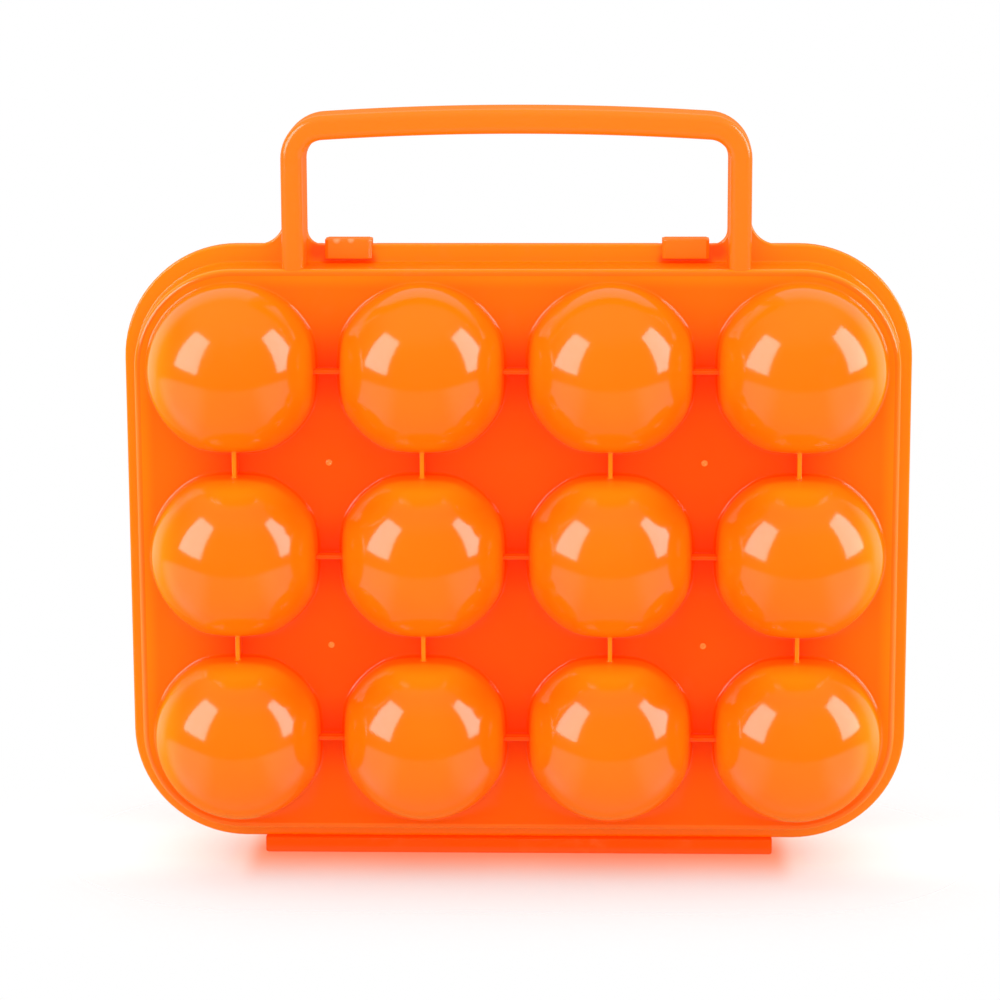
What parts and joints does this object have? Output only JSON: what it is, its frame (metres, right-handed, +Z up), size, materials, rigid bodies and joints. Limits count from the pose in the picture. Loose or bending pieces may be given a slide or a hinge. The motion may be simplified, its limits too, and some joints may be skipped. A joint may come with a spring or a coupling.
{
  "type": "camping egg box",
  "caption": "Hinged carry box for eggs: two moulded halves with domed cups close on each other under snap latches, and a fixed handle carries it.",
  "frame": {"origin": "middle of the foot that the closed box stands on, on the table", "axes": "+Z up towards the handle, +X along the width, +Y from the base half with the handle to the lid half"},
  "size_m": [0.2, 0.0694, 0.1951],
  "materials": {
    "orange_plastic": "glossy injection-moulded polypropylene, slightly translucent"
  },
  "bodies": {
    "base_half": {"base_rim": "orange_plastic", "carry_handle": "orange_plastic", "base_hinge_leaf": "orange_plastic", "hinge_film": "orange_plastic", "base_cup_r1c1": "orange_plastic", "base_cup_r1c2": "orange_plastic", "base_cup_r1c3": "orange_plastic", "base_cup_r1c4": "orange_plastic", "base_cup_r2c1": "orange_plastic", "base_cup_r2c2": "orange_plastic", "base_cup_r2c3": "orange_plastic", "base_cup_r2c4": "orange_plastic", "base_cup_r3c1": "orange_plastic", "base_cup_r3c2": "orange_plastic", "base_cup_r3c3": "orange_plastic", "base_cup_r3c4": "orange_plastic"},
    "lid_half": {"lid_rim": "orange_plastic", "lid_hinge_leaf": "orange_plastic", "lid_cup_r1c1": "orange_plastic", "lid_cup_r1c2": "orange_plastic", "lid_cup_r1c3": "orange_plastic", "lid_cup_r1c4": "orange_plastic", "lid_cup_r2c1": "orange_plastic", "lid_cup_r2c2": "orange_plastic", "lid_cup_r2c3": "orange_plastic", "lid_cup_r2c4": "orange_plastic", "lid_cup_r3c1": "orange_plastic", "lid_cup_r3c2": "orange_plastic", "lid_cup_r3c3": "orange_plastic", "lid_cup_r3c4": "orange_plastic"},
    "latch_left": {"latch_left": "orange_plastic"},
    "latch_right": {"latch_right": "orange_plastic"}
  },
  "joints": [
    {"name": "lid_hinge", "type": "hinge", "parent": "base_half", "child": "lid_half", "pos_m": [0, 0, -0.00015], "axis": [-1, 0, 0], "range_deg": [0, 180], "deforming": ["hinge_film"]},
    {"name": "latch_left_flip", "type": "hinge", "parent": "lid_half", "child": "latch_left", "pos_m": [-0.0425, 0.00112, 0.1599], "axis": [-1, 0, 0], "range_deg": [0, 110]},
    {"name": "latch_right_flip", "type": "hinge", "parent": "lid_half", "child": "latch_right", "pos_m": [0.0425, 0.00112, 0.1599], "axis": [-1, 0, 0], "range_deg": [0, 110]}
  ]
}
